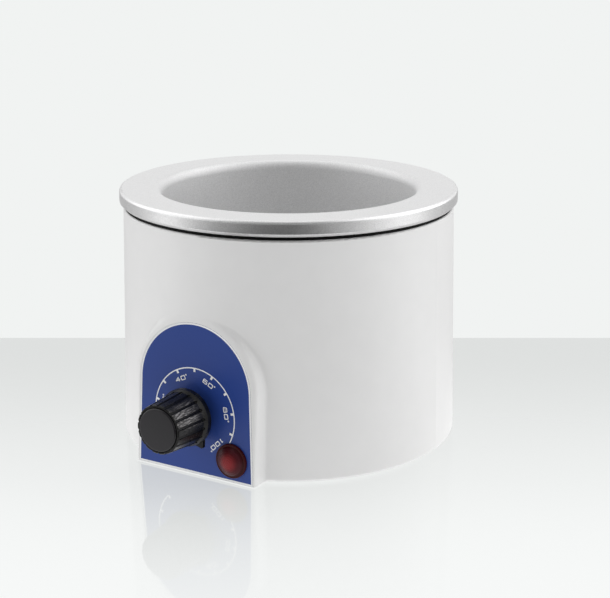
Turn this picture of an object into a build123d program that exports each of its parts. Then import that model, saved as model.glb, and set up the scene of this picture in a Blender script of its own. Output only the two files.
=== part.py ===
from build123d import *
import os
from math import cos, radians, sin, tan

# A wax warmer: a drawn pot hangs by its wide rim in a white moulded housing. A dial panel
# stands out of the front, with a knob, a scale and a lamp, and a mains inlet is at the back.
# Millimetres. The origin is on the pot's axis, on the plane that the feet rest on. +Z is up
# and the dial panel faces -Y.

# Overall sizes
WELL_R = 57.7             # inside radius of the pot, which takes a wax tin
WELL_DEPTH = 64.0         # rim's top to the inside of the pot's floor
POT_UP = 48.5             # resting plane to the underside of the pot's floor
RING_ROOM = 17.3          # pot's inside to the housing's outer face, at the housing's top edge
FOOT_STAND = 0.4          # how far the feet lift the housing's lower edge
BODY_DRAFT = 1.25         # degrees that each side spreads towards the foot
WALL = 2.5                # housing's wall

# Pot, drawn from one sheet with its rim
SHEET = 1.5               # pot's sheet
RIM_OVERHANG = 1.7        # how far the rim stands out past the housing's top edge
MOUTH_ROUND = 4.1         # radius where the rim turns down into the pot
FLOOR_ROUND = 6.0         # inside radius between the pot's wall and floor
SHOULDER = 1.5            # radius at the rim's outer edge
SKIRT_H = 6.9             # height of the skirt that hangs from the rim
SKIRT_T = 1.8             # thickness of the skirt
SKIRT_BEVEL = 1.4         # bevel at the skirt's lower edge
RIM_GAP = 1.6             # shadow gap between the skirt and the housing
SEAL_STEP = 0.8           # how far the seal's face lies inside the housing's edge
SEAL_T = 3.4              # seal's thickness
LIP_H = 5.0               # height of the thick lip that carries the seal
LIP_SPARE = 0.3           # how far the lip reaches in past the seal
EDGE_ROUND = 0.8          # housing's upper outer edge
FOOT_ROUND = 1.5          # housing's lower outer edge

# Dial panel, in the panel's own frame: X to the right, Y up the panel and Z out of it
PANEL_STAND = 0.9         # panel's face in front of the housing's foot
PANEL_LEAN = 1.72         # degrees that the panel leans back
FACE_FOOT = 30.3          # half width of the panel's flat face at its foot
FACE_R = 28.9             # radius of the face's arched top
FACE_CENTRE = 38.8        # height of that arch's centre
BOSS_FOOT = 30.8          # half width of the boss behind the face, at its foot
BOSS_R = 31.2             # radius of the boss's arched top
BOSS_CENTRE = 39.6        # height of that arch's centre
BOSS_ROUND = 2.2          # depth over which the face rounds over to the boss's side
ROUND_STEPS = 3           # outlines that the rounding passes through, after the face
BOSS_DEPTH = 18.0         # how far back the boss runs into the housing
BLEND = 2.0               # fillet where the boss meets the housing
LABEL_INSET = 0.5         # plain border of the face around the label
LABEL_LIFT = 0.2          # gap between the label and the housing's lower edge
LABEL_T = 0.4             # label's thickness, flush with the face
DIAL_UP = 27.5            # height of the dial's centre on the panel
FIT = 0.1                 # gap around a piece that is laid or pushed into place
LOOSE = 0.4               # gap around a piece that drops into place

# Knob and spindle, along the panel's Z from its face
KNOB_FRONT_R = 10.6       # fluted body's radius at its front
KNOB_REAR_R = 11.7        # fluted body's radius where it meets the skirt
KNOB_SKIRT_R = 12.6       # skirt's radius
KNOB_STANDOFF = 5.4       # panel's face to the back of the skirt
KNOB_SKIRT_H = 2.6        # skirt's height at its edge
KNOB_SHOULDER = 1.8       # height over which the skirt slopes up to the fluted body
KNOB_REACH = 26.2         # panel's face to the knob's front
KNOB_HUB_R = 8.0          # hub behind the skirt
KNOB_HUB_GAP = 1.2        # hub's clearance from the panel
FLUTES = 18
FLUTE_R = 0.65            # radius of the groove between two ribs
FLUTE_DEPTH = 0.6
CAP_R = 9.3               # flat cap in the knob's front
CAP_T = 2.2
CAP_PROUD = 0.6           # cap's face in front of the knob's ribs
CAP_GAP = 0.4             # dark groove round the cap
CAP_GROOVE = 1.0          # depth of that groove
CAP_ROUND = 0.6
POINTER_R = 15.0          # pointer's tip
POINTER_T = 1.6
POINTER_HALF = 16.0       # half of the angle that the pointer's root takes, in degrees
POINTER_AT = 144.0        # pointer's place at rest, clockwise from the top
SPINDLE_R = 3.0
SPINDLE_RUN = 0.05        # radial running clearance of the spindle in its bush
SPINDLE_REACH = 19.0      # panel's face to the spindle's end
SPINDLE_FLAT = 1.0        # depth of the flat on the spindle
INSERT_R = 5.5            # brass insert in the knob
GRUB_R = 2.0
GRUB_SINK = 3.0           # grub screw's end below the knob's side
GRUB_SOCKET = 2.0

# Lamp
LAMP_X = 19.2             # lamp's centre on the panel
LAMP_UP = 9.7
LAMP_FLANGE_R = 7.6
LAMP_FLANGE_T = 1.2
LAMP_DOME = 2.6           # height of the lens above its flange
LAMP_BARREL_R = 5.0
LAMP_DEPTH = 16.0         # panel's face to the barrel's back
LAMP_NUT_W = 1.4          # width of the spring nut round the barrel
LAMP_NUT_T = 1.0

# Thermostat behind the panel
STAT_R = 18.0
STAT_DEPTH = 20.0
BUSH_R = 4.5              # bush that carries the spindle through the panel
STAT_SCREW_X = 14.0       # screws on each side of the spindle
STAT_SCREW_R = 1.9

# Heater round the pot
HEATER_T = 3.0
HEATER_H = 36.0
HEATER_UP = 12.0          # heater's lower edge above the pot's floor, outside
HEATER_GAP = 24.0         # degrees left open at the back
STRAP_T = 0.8
STRAP_W = 8.0
STRAP_EAR = 6.0           # how far a strap's ears stand out
LAGGING_GAP = 0.3
LAGGING_T = 5.5           # insulation round the heater
LAGGING_BELOW = 3.0       # how far the insulation runs past the heater's lower edge
LAGGING_ABOVE = 1.0
LAGGING_OPEN = 64.0       # degrees left open at the back

# Base
PLATE_T = 2.0
PLATE_UP = 1.0            # base plate's underside above the housing's lower edge
FOOT_R = 8.0
FOOT_STEM_R = 3.0
FEET_INSET = 21.0         # feet's centres inside the housing's top radius
POST_R = 4.5              # screw posts in the housing
POST_INSET = 9.0          # posts' centres inside the housing's top radius
POST_H = 26.0
RIB_T = 2.0
PILLAR_R = 4.2            # pillars between the base plate and the pot's floor
PILLAR_INSET = 21.2       # pillars' centres inside the pot's outer wall
M3_R = 1.5
M3_SCREW = 10.0
M4_R = 2.0
THREAD_GAP = 0.05         # radial gap that stands for a thread's play

# Mains inlet at the back
PAD_HALF = 16.0           # half width of the flat pad that carries the inlet
PAD_STAND = 0.5           # pad's face behind the housing's foot
PAD_TOP = 56.0
PAD_ROUND = 4.0
INLET_UP = 28.0           # height of the inlet's centre
INLET_W = 20.0
INLET_H = 27.0
INLET_DEPTH = 20.0        # pad's face to the back of the inlet
FLANGE_W = 24.0
FLANGE_H = 50.0
FLANGE_T = 2.5
FLANGE_ROUND = 6.0
SOCKET_W = 17.0
SOCKET_H = 24.4
SOCKET_DEPTH = 16.0
SOCKET_KEY = 4.0          # chamfer along two of the socket's edges
INLET_SCREWS = 40.0       # distance between the inlet's two screws
PIN_W = 4.0
PIN_T = 2.0
PIN_SPREAD = 7.0          # outer pins above and below the centre
PIN_OFFSET = 2.0          # outer pins to one side of the centre, the earth pin to the other
TAB_REACH = 8.0           # solder tabs behind the inlet
TAB_T = 0.8

# Wiring
WIRE_R = 1.2
CAPILLARY_R = 0.8
BULB_R = 3.0
BULB_LEN = 46.0

WIRE_RUN = 7.0            # straight run out of a tab before the first bend
LANE_DROP = 18.0          # how far in front of the inlet's tabs a wire reaches the base

# Small pieces
CHEESE_HEAD_R = 2.6
CHEESE_HEAD_H = 2.0
CLIP_STUD = 6.0
STUD_END = 1.0            # how far a stud or screw stands past its nut
CUTOUT_ROUND = 0.8
M4_HEAD_R = 3.8
STUD_LEN = 8.0            # studs under the pot
PILLAR_SCREW = 9.0
NUT_T = 2.4
STRAP_GAP = 14.0          # degrees between a strap's ears
TAB_W = 6.3               # flat tabs
CUTOUT_R = 8.0
CUTOUT_H = 7.0
CLIP_T = 0.8
CLIP_W = 8.0
SADDLE_FOOT = 8.0
CUTOUT_X = 22.0           # places under the pot's floor
CUTOUT_Y = -6.0
BULB_X = -8.0
BULB_Y = 10.0
EARTH_Y = 30.0
EARTH_LEN = 8.0
TAG_LEN = 9.0
BUSH_FRONT = 0.2          # bush's end past the panel's face
SPINDLE_BACK = -11.5
STAT_TAB_X = 8.0
STAT_TAB_Y = -8.0
FRONT_ROUND = 0.5
LAMP_WALL = 0.8
LAMP_BULB_R = 2.6
LEAD_X = 1.6
LEAD_R = 0.8
PIN_SINK = 1.5            # pins' tips below the inlet's face
LANE_X = 16.0             # wires' lane along the base
LANE_Z = 9.0

# Derived sizes
height = POT_UP + SHEET + WELL_DEPTH
body_r = WELL_R + RING_ROOM
rim_r = body_r + RIM_OVERHANG
body_h = height - SKIRT_H - RIM_GAP - FOOT_STAND
top_z = FOOT_STAND + body_h
foot_r = body_r + body_h * tan(radians(BODY_DRAFT))
panel_reach = foot_r + PANEL_STAND
pad_reach = foot_r + PAD_STAND
plate_z = FOOT_STAND + PLATE_UP
deck_z = plate_z + PLATE_T
well_outer = WELL_R + SHEET
pot_under = POT_UP
pot_floor = pot_under + SHEET
rim_under = height - SHEET
pillars_at = well_outer - PILLAR_INSET
posts_at = body_r - POST_INSET
feet_at = body_r - FEET_INSET
seal_outer = body_r - SEAL_STEP
seal_inner = seal_outer - SEAL_T
lip_inner = seal_inner - LIP_SPARE
plate_r = foot_r - WALL - LOOSE - PLATE_UP * tan(radians(BODY_DRAFT))
heater_in = well_outer + FIT
heater_out = heater_in + HEATER_T
heater_z = pot_under + HEATER_UP
strap_out = heater_out + STRAP_T
lagging_in = strap_out + LAGGING_GAP
stat_back = -WALL - STAT_DEPTH
inlet_back = pad_reach - INLET_DEPTH
pillar_angles = (30, 150, 270)
corner_angles = (45, 135, 225, 315)
strap_heights = (6.0, HEATER_H - 6.0 - STRAP_W)
terminal_angle = HEATER_GAP / 2 + 5
cutout_at = (CUTOUT_X, CUTOUT_Y, 0)
bulb_at = (BULB_X, BULB_Y)
earth_at = (0, EARTH_Y, 0)
capillary_seat = (-9.0, 7.0)
inlet_face = pad_reach + FLANGE_T
pin_places = ((-PIN_OFFSET, -PIN_SPREAD), (-PIN_OFFSET, PIN_SPREAD), (PIN_OFFSET, 0.0))
lamp_room_r = LAMP_BARREL_R + LAMP_NUT_W + FIT
flutes_low = KNOB_STANDOFF + KNOB_SKIRT_H + KNOB_SHOULDER
cap_top = KNOB_REACH + CAP_PROUD
cap_low = cap_top - CAP_T
insert_top = SPINDLE_REACH + 1.0
grub_angle = 90 - POINTER_AT + 180
grub_axis = Pos(0, 0, flutes_low + 2) * Rot(0, 0, grub_angle) * Rot(0, 90, 0)

# The dial panel's frame, and the dial's own frame on it
panel = Plane(
    origin=(0, -panel_reach, FOOT_STAND),
    x_dir=(1, 0, 0),
    z_dir=(0, -cos(radians(PANEL_LEAN)), sin(radians(PANEL_LEAN))),
)
dial = panel.location * Pos(0, DIAL_UP, 0)
lamp_seat = panel.location * Pos(LAMP_X, LAMP_UP, 0)


def body_radius(z):
    """Housing's outer radius at a height above the resting plane."""
    return body_r + (top_z - z) * tan(radians(BODY_DRAFT))


def around(radius, angle, z=0.0):
    """Point at an angle round the pot's axis, counted from +X."""
    return (radius * cos(radians(angle)), radius * sin(radians(angle)), z)


def rod(radius, z_low, z_high):
    """Upright cylinder between two heights."""
    return Pos(0, 0, z_low) * Cylinder(radius, z_high - z_low, align=(Align.CENTER, Align.CENTER, Align.MIN))


def ring(r_in, r_out, z_low, z_high):
    """Upright tube between two heights."""
    return rod(r_out, z_low, z_high) - rod(r_in, z_low - 1, z_high + 1)


def block(x, y, z):
    """Box given by its limits along each axis."""
    size = (x[1] - x[0], y[1] - y[0], z[1] - z[0])
    centre = ((x[0] + x[1]) / 2, (y[0] + y[1]) / 2, (z[0] + z[1]) / 2)
    return Pos(*centre) * Box(*size)


def spun(points, radii):
    """Solid of revolution about Z from a closed outline of radius and height, with rounded corners."""
    outline = FilletPolyline(*[(r, 0, z) for r, z in points], radius=radii, close=True)
    return revolve(make_face(outline), axis=Axis.Z)


def countersunk(radius, head_r, length):
    """Countersunk screw with its head's top at Z = 0 and its shank towards +Z."""
    head_h = head_r - radius
    head = Cone(head_r, radius, head_h, align=(Align.CENTER, Align.CENTER, Align.MIN))
    slot = block((-head_r, head_r), (-0.35, 0.35), (-1, 0.6))
    return head + rod(radius, 0, length) - slot - Rot(0, 0, 90) * slot


def arch(half_foot, radius, centre, foot):
    """Outline with straight sides that spread from a round top to the foot."""
    slope = (half_foot - radius) / centre
    half = radius + (centre - foot) * slope
    outline = [
        Line((half, foot), (radius, centre)),
        ThreePointArc((radius, centre), (0, centre + radius), (-radius, centre)),
        Line((-radius, centre), (-half, foot)),
        Line((-half, foot), (half, foot)),
    ]
    return make_face(outline)


def bend_radii(points, share=0.45):
    """Largest radii that the runs of a route leave room for, one for each corner."""
    radii = []
    for a, b, c in zip(points, points[1:], points[2:]):
        into, out = Vector(b) - Vector(a), Vector(c) - Vector(b)
        turn = radians(into.get_angle(out))
        radii.append(share * min(into.length, out.length) / tan(turn / 2))
    return radii


def tube(points, radius):
    """Round bar along a route whose corners are bent."""
    route = FilletPolyline(*points, radius=bend_radii(points))
    return sweep(Plane(origin=route @ 0, z_dir=route % 0) * Circle(radius), path=route)


def rounded_face(angle, foot):
    """Outline of the boss part of the way round its front edge: 0 is the flat face, 90 the side."""
    share = sin(radians(angle))
    half_foot = FACE_FOOT + share * (BOSS_FOOT - FACE_FOOT)
    radius = FACE_R + share * (BOSS_R - FACE_R)
    centre = FACE_CENTRE + share * (BOSS_CENTRE - FACE_CENTRE)
    return Pos(0, 0, -BOSS_ROUND * (1 - cos(radians(angle)))) * arch(half_foot, radius, centre, foot)


def housing():
    """White moulded shell with the dial panel's boss, the inlet's pad and four screw posts."""
    cone = Pos(0, 0, FOOT_STAND) * Cone(foot_r, body_r, body_h, align=(Align.CENTER, Align.CENTER, Align.MIN))
    cone = fillet(cone.edges().sort_by(Axis.Z)[0], FOOT_ROUND)
    below = -FOOT_ROUND
    rounds = [rounded_face(90 * k / ROUND_STEPS, below) for k in range(ROUND_STEPS + 1)]
    boss = loft(rounds) + extrude(rounds[-1], -BOSS_DEPTH)
    pad = block((-PAD_HALF, PAD_HALF), (WELL_R, pad_reach), (below, PAD_TOP))
    pad = fillet(pad.edges().filter_by(Axis.Y).sort_by(Axis.Z)[-2:], PAD_ROUND)
    boss = panel.location * boss
    shell = cone + boss
    seam = [e for e in new_edges(cone, boss, combined=shell) if e.center().Y < 0]
    shell = fillet(seam, BLEND)
    shell = shell + pad
    shell = shell - block((-200, 200), (-200, 200), (-200, FOOT_STAND))
    shell = shell - cavity()
    shell = shell + posts()
    shell = fillet(shell.edges().filter_by(GeomType.CIRCLE).filter_by(
        lambda e: abs(e.center().Z - top_z) < 0.01 and abs(e.radius - body_r) < 0.01), EDGE_ROUND)
    return shell - openings()


def cavity():
    """Space inside the housing, up to the lip that carries the seal."""
    low = FOOT_STAND - 1
    lip_z = top_z - LIP_H
    inner = Pos(0, 0, low) * Cone(
        body_radius(low) - WALL, body_radius(lip_z) - WALL, lip_z - low,
        align=(Align.CENTER, Align.CENTER, Align.MIN))
    slope_h = body_radius(lip_z) - WALL - lip_inner
    under_lip = Pos(0, 0, lip_z) * Cone(
        body_radius(lip_z) - WALL, lip_inner, slope_h, align=(Align.CENTER, Align.CENTER, Align.MIN))
    mouth = rod(lip_inner, lip_z, top_z + 1)
    inside = Pos(0, 0, -WALL) * arch(BOSS_FOOT - WALL, BOSS_R - WALL, BOSS_CENTRE, -2 * WALL)
    boss_room = panel.location * extrude(inside, -BOSS_DEPTH)
    pad_room = block(
        (-PAD_HALF + WALL, PAD_HALF - WALL), (WELL_R, pad_reach - WALL), (low, PAD_TOP - WALL))
    return inner + under_lip + mouth + boss_room + pad_room


def posts():
    """Screw posts with a rib that ties each one to the housing's wall."""
    tops = deck_z + POST_H
    group = Part()
    for angle in corner_angles:
        post = Pos(*around(posts_at, angle)) * rod(POST_R, deck_z, tops)
        wall_r = body_radius(tops) - WALL / 2
        rib = block((posts_at, wall_r), (-RIB_T / 2, RIB_T / 2), (deck_z, tops))
        group += post + Rot(0, 0, angle) * rib
    return group


def openings():
    """Everything that is cut through the housing: label pocket, bush, lamp, screws and inlet."""
    pocket_face = arch(
        FACE_FOOT - LABEL_INSET + FIT, FACE_R - LABEL_INSET + FIT, FACE_CENTRE, LABEL_LIFT - FIT)
    pocket = panel.location * extrude(pocket_face, -LABEL_T)
    pocket += panel.location * extrude(pocket_face, 1)
    bush = dial * rod(BUSH_R + FIT, -WALL - 1, 1)
    lamp = lamp_seat * rod(LAMP_BARREL_R + FIT, -WALL - 1, 1)
    cuts = pocket + bush + lamp
    for side in (-1, 1):
        seat = dial * Pos(side * STAT_SCREW_X, 0, -LABEL_T)
        head_h = STAT_SCREW_R
        sink = Cone(STAT_SCREW_R + THREAD_GAP, 2 * STAT_SCREW_R + THREAD_GAP, head_h,
                    align=(Align.CENTER, Align.CENTER, Align.MAX))
        cuts += seat * (sink + rod(STAT_SCREW_R + THREAD_GAP, -WALL - 1, 1))
    inlet = block(
        (-INLET_W / 2 - FIT, INLET_W / 2 + FIT), (WELL_R, pad_reach + 5),
        (INLET_UP - INLET_H / 2 - FIT, INLET_UP + INLET_H / 2 + FIT))
    cuts += inlet
    for side in (-1, 1):
        hole = Pos(0, WELL_R, INLET_UP + side * INLET_SCREWS / 2) * Rot(-90, 0, 0) * rod(M3_R + FIT, 0, 40)
        cuts += hole
    for angle in corner_angles:
        pilot = rod(M3_R + THREAD_GAP, deck_z - 1, deck_z + POST_H - 4)
        cuts += Pos(*around(posts_at, angle)) * pilot
    return cuts


def well_pot():
    """Pot, rim and skirt, drawn from one sheet."""
    skirt_in = rim_r - SKIRT_T
    skirt_low = height - SKIRT_H
    points = [
        (0, pot_floor), (WELL_R, pot_floor), (WELL_R, height), (rim_r, height),
        (rim_r, skirt_low + SKIRT_BEVEL), (skirt_in + 0.4, skirt_low), (skirt_in, skirt_low),
        (skirt_in, rim_under), (well_outer, rim_under), (well_outer, pot_under), (0, pot_under),
    ]
    radii = [0, FLOOR_ROUND, MOUTH_ROUND, SHOULDER, 0.4, 0, 0, SHEET / 3,
             MOUTH_ROUND - SHEET, FLOOR_ROUND + SHEET, 0]
    return spun(points, radii)


def rim_seal():
    """Black seal between the housing's lip and the underside of the rim."""
    return ring(seal_inner, seal_outer, top_z, rim_under)


def base_plate():
    """Plate that closes the housing from below, with a tongue under the dial panel."""
    half = BOSS_FOOT - WALL - LOOSE
    front = panel_reach - WALL - LOOSE
    heel = PAD_HALF - WALL - LOOSE
    plate = rod(plate_r, plate_z, deck_z)
    plate += block((-half, half), (-front, 0), (plate_z, deck_z))
    plate += block((-heel, heel), (0, pad_reach - WALL - LOOSE), (plate_z, deck_z))
    plate -= lamp_seat * rod(lamp_room_r, -WALL - LAMP_NUT_T - FIT, 0)
    for angle in corner_angles:
        plate -= Pos(*around(feet_at, angle)) * rod(FOOT_STEM_R + FIT, plate_z - 1, deck_z + 1)
        plate -= Pos(*around(posts_at, angle, plate_z)) * screw_seat(M3_R, 2 * M3_R)
    for angle in pillar_angles:
        plate -= Pos(*around(pillars_at, angle, plate_z)) * screw_seat(M4_R, M4_HEAD_R)
    return plate


def screw_seat(radius, head_r):
    """Clearance for a countersunk screw whose head's top is at Z = 0."""
    head = Cone(head_r + THREAD_GAP, radius + THREAD_GAP, head_r - radius,
                align=(Align.CENTER, Align.CENTER, Align.MIN))
    return head + rod(radius + THREAD_GAP, 0, 2 * PLATE_T) + rod(head_r + THREAD_GAP, -1, 0)


def rubber_feet():
    """Four feet, each with a stem pushed through the base plate."""
    foot = spun(
        [(0, 0), (FOOT_R, 0), (FOOT_R, plate_z), (FOOT_STEM_R, plate_z),
         (FOOT_STEM_R, deck_z), (FOOT_STEM_R + FIT + 0.5, deck_z),
         (FOOT_STEM_R, deck_z + 2), (0, deck_z + 2)],
        [0, 0.5, 0, 0, 0, 0, 0, 0])
    return Compound([Pos(*around(feet_at, angle)) * foot for angle in corner_angles])


def base_screws():
    """Four screws from the base plate into the housing's posts."""
    screw = countersunk(M3_R, 2 * M3_R, M3_SCREW)
    return Compound([Pos(*around(posts_at, angle, plate_z)) * screw for angle in corner_angles])


def well_studs():
    """Three studs welded under the pot's floor."""
    stud = rod(M4_R, pot_under - STUD_LEN, pot_under)
    return Compound([Pos(*around(pillars_at, angle)) * stud for angle in pillar_angles])


def well_pillars():
    """Three hexagonal pillars that tie the pot down to the base plate."""
    pillar = Pos(0, 0, deck_z) * extrude(RegularPolygon(PILLAR_R, 6), pot_under - deck_z)
    pillar -= rod(M4_R + THREAD_GAP, pot_under - STUD_LEN - 1, pot_under + 1)
    pillar -= rod(M4_R + THREAD_GAP, deck_z - 1, deck_z + PILLAR_SCREW)
    return Compound([Pos(*around(pillars_at, angle)) * pillar for angle in pillar_angles])


def pillar_screws():
    """Three screws from below into the pillars."""
    screw = countersunk(M4_R, M4_HEAD_R, PILLAR_SCREW)
    return Compound([Pos(*around(pillars_at, angle, plate_z)) * screw for angle in pillar_angles])


def sector(middle, width, z_low, z_high):
    """Wedge about the pot's axis, to open a ring."""
    reach = 3 * body_r
    low, high = around(reach, middle - width / 2), around(reach, middle + width / 2)
    return Pos(0, 0, z_low) * extrude(make_face(Polyline((0, 0, 0), low, high, close=True)), z_high - z_low)


def heater_band():
    """Band heater that clasps the pot and is open at the back."""
    low, high = heater_z, heater_z + HEATER_H
    return ring(heater_in, heater_out, low, high) - sector(90, HEATER_GAP, low - 1, high + 1)


def heater_straps():
    """Two steel straps whose ears are drawn together by a screw."""
    return Compound([strap(heater_z + up) for up in strap_heights])


def strap(low):
    """One strap with an upright ear at each end."""
    high = low + STRAP_W
    band = ring(heater_out, strap_out, low, high) - sector(90, STRAP_GAP, low - 1, high + 1)
    ear_x = strap_out * sin(radians(STRAP_GAP / 2))
    ear_y = heater_out * cos(radians(STRAP_GAP / 2))
    for side in (-1, 1):
        x = sorted((side * ear_x, side * (ear_x + STRAP_T)))
        ear = block(x, (ear_y, strap_out + STRAP_EAR), (low, high)) - rod(strap_out - FIT, low - 1, high + 1)
        band += ear
    return band - strap_bolt(low) * rod(M3_R + FIT, -body_r, body_r)


def strap_bolt(low):
    """Axis of the screw through one strap's ears, along X."""
    return Pos(0, strap_out + STRAP_EAR / 2, low + STRAP_W / 2) * Rot(0, 90, 0)


def strap_screws():
    """Cheese-head screw and nut for each strap."""
    ear_out = strap_out * sin(radians(STRAP_GAP / 2)) + STRAP_T
    group = []
    for up in strap_heights:
        axis = strap_bolt(heater_z + up)
        head_top = ear_out + CHEESE_HEAD_H
        screw = rod(M3_R, -ear_out - NUT_T - STUD_END, ear_out) + rod(CHEESE_HEAD_R, ear_out, head_top)
        screw -= block((-M3_R * 2, M3_R * 2), (-0.4, 0.4), (head_top - CHEESE_HEAD_H / 2, head_top + 1))
        group += [axis * screw, axis * Pos(0, 0, -ear_out - NUT_T) * nut(M3_R)]
    return Compound([s for piece in group for s in piece.solids()])


def nut(radius):
    """Hexagon nut standing on Z = 0."""
    return extrude(RegularPolygon(2.1 * radius, 6), NUT_T) - rod(radius + THREAD_GAP, -1, NUT_T + 1)


def heater_terminals():
    """Two flat tabs at the heater's ends, pointing down."""
    tabs = []
    for side in (-1, 1):
        tab = block((heater_out, heater_out + TAB_T), (-TAB_W / 2, TAB_W / 2),
                    (heater_z - TAB_REACH, heater_z + TAB_W / 2))
        tab -= rod(heater_out, heater_z - TAB_REACH - 1, heater_z + TAB_W)
        tabs.append(Rot(0, 0, 90 + side * terminal_angle) * tab)
    return Compound(tabs)


def insulation_jacket():
    """Glass-fibre jacket round the heater, open where the straps are drawn together."""
    low, high = heater_z - LAGGING_BELOW, heater_z + HEATER_H + LAGGING_ABOVE
    return ring(lagging_in, lagging_in + LAGGING_T, low, high) - sector(90, LAGGING_OPEN, low - 1, high + 1)


def saddle(half, rise, width):
    """Strap bent over a piece under the pot: feet against the floor at Z = 0, the bridge below."""
    t, foot = CLIP_T, SADDLE_FOOT
    bridge = block((-half - t, half + t), (-width / 2, width / 2), (-rise - t, -rise))
    for side in (-1, 1):
        leg = sorted((side * half, side * (half + t)))
        bridge += block(leg, (-width / 2, width / 2), (-rise, 0))
        flat = sorted((side * half, side * (half + foot)))
        bridge += block(flat, (-width / 2, width / 2), (-t, 0))
        bridge -= Pos(side * (half + foot / 2), 0, 0) * rod(M3_R + FIT, -rise, 1)
    return bridge


def thermal_cutout():
    """Disc-shaped cutout pressed against the pot's floor, with a tab at each side."""
    body = rod(CUTOUT_R, pot_under - CUTOUT_H, pot_under)
    return Pos(*cutout_at) * fillet(body.edges().sort_by(Axis.Z)[0], CUTOUT_ROUND)


def cutout_tabs():
    """Two flat tabs of the cutout, towards the front and the back."""
    middle = pot_under - CUTOUT_H / 2
    z = (middle - TAB_T / 2, middle + TAB_T / 2)
    tabs = []
    for side in (-1, 1):
        y = sorted((side * (CUTOUT_R - 1), side * (CUTOUT_R + TAB_REACH)))
        tab = block((-TAB_W / 2, TAB_W / 2), y, z) - rod(CUTOUT_R, pot_under - CUTOUT_H, pot_under)
        tabs.append(Pos(*cutout_at) * tab)
    return Compound([s for tab in tabs for s in tab.solids()])


def cutout_clip():
    """Saddle that holds the cutout."""
    return Pos(cutout_at[0], cutout_at[1], pot_under) * saddle(CUTOUT_R + FIT, CUTOUT_H, CLIP_W)


def bulb_clip():
    """Saddle that holds the sensing bulb."""
    return Pos(*bulb_at, pot_under) * Rot(0, 0, 90) * saddle(BULB_R + FIT, 2 * BULB_R, CLIP_W)


def clip_places():
    """Where the saddles' studs stand."""
    reach = CUTOUT_R + FIT + SADDLE_FOOT / 2
    spread = BULB_R + FIT + SADDLE_FOOT / 2
    cut = [(cutout_at[0] + side * reach, cutout_at[1]) for side in (-1, 1)]
    return cut + [(bulb_at[0], bulb_at[1] + side * spread) for side in (-1, 1)]


def clip_studs():
    """Four small studs welded under the pot's floor for the saddles."""
    return Compound([Pos(x, y, 0) * rod(M3_R, pot_under - CLIP_STUD, pot_under) for x, y in clip_places()])


def clip_nuts():
    """Nuts on the saddles' studs."""
    low = pot_under - CLIP_T - NUT_T
    return Compound([s for x, y in clip_places() for s in (Pos(x, y, low) * nut(M3_R)).solids()])


def sensing_bulb():
    """Thermostat's bulb, lying along X against the pot's floor."""
    bulb = Pos(bulb_at[0], bulb_at[1], pot_under - BULB_R) * Rot(0, 90, 0) * Cylinder(BULB_R, BULB_LEN)
    return fillet(bulb.edges(), BULB_R * 0.6)


def capillary_tube():
    """Thin tube from the bulb to the back of the thermostat."""
    end_x = bulb_at[0] - BULB_LEN / 2
    level = pot_under - BULB_R
    seat = (dial * Pos(*capillary_seat, stat_back)).position
    before = (dial * Pos(*capillary_seat, stat_back - 9)).position
    middle_y = (bulb_at[1] + before.Y) / 2
    points = [
        (end_x, bulb_at[1], level), (end_x - 5, bulb_at[1], level),
        (end_x - 7, middle_y, (level + before.Z) / 2),
        (before.X - 9, before.Y + 8, before.Z + 1), tuple(before), tuple(seat),
    ]
    return tube(points, CAPILLARY_R)


def thermostat_body():
    """Round thermostat behind the panel, with the bush that carries the spindle."""
    body = rod(STAT_R, stat_back, -WALL)
    body = fillet(body.edges().sort_by(Axis.Z)[0], 2.0)
    body += rod(BUSH_R, -WALL - 1, BUSH_FRONT)
    body -= Pos(LAMP_X, LAMP_UP - DIAL_UP, 0) * rod(lamp_room_r, stat_back - 1, 0)
    body -= rod(SPINDLE_R + SPINDLE_RUN, SPINDLE_BACK - 0.5, BUSH_FRONT + 1)
    for side in (-1, 1):
        body -= Pos(side * STAT_SCREW_X, 0, 0) * rod(STAT_SCREW_R + THREAD_GAP, -WALL - 7, 0)
    return dial * body


def thermostat_screws():
    """Two countersunk screws through the panel, under the label."""
    screw = Rot(180, 0, 0) * countersunk(STAT_SCREW_R, 2 * STAT_SCREW_R, WALL + 5)
    return Compound([dial * Pos(side * STAT_SCREW_X, 0, -LABEL_T) * screw for side in (-1, 1)])


def thermostat_tabs():
    """Two flat tabs at the back of the thermostat."""
    x, y = TAB_W / 2, TAB_T / 2
    tab = block((-x, x), (-y, y), (stat_back - TAB_REACH, stat_back))
    return Compound([dial * Pos(side * STAT_TAB_X, STAT_TAB_Y, 0) * tab for side in (-1, 1)])


def label_plate():
    """Printed label let into the panel's face, with holes for the bush and the lamp."""
    outline = arch(FACE_FOOT - LABEL_INSET, FACE_R - LABEL_INSET, FACE_CENTRE, LABEL_LIFT)
    label = extrude(outline, -LABEL_T)
    label -= Pos(0, DIAL_UP, 0) * rod(BUSH_R + FIT, -1, 1)
    label -= Pos(LAMP_X, LAMP_UP, 0) * rod(LAMP_BARREL_R + FIT, -1, 1)
    return panel.location * label


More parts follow.
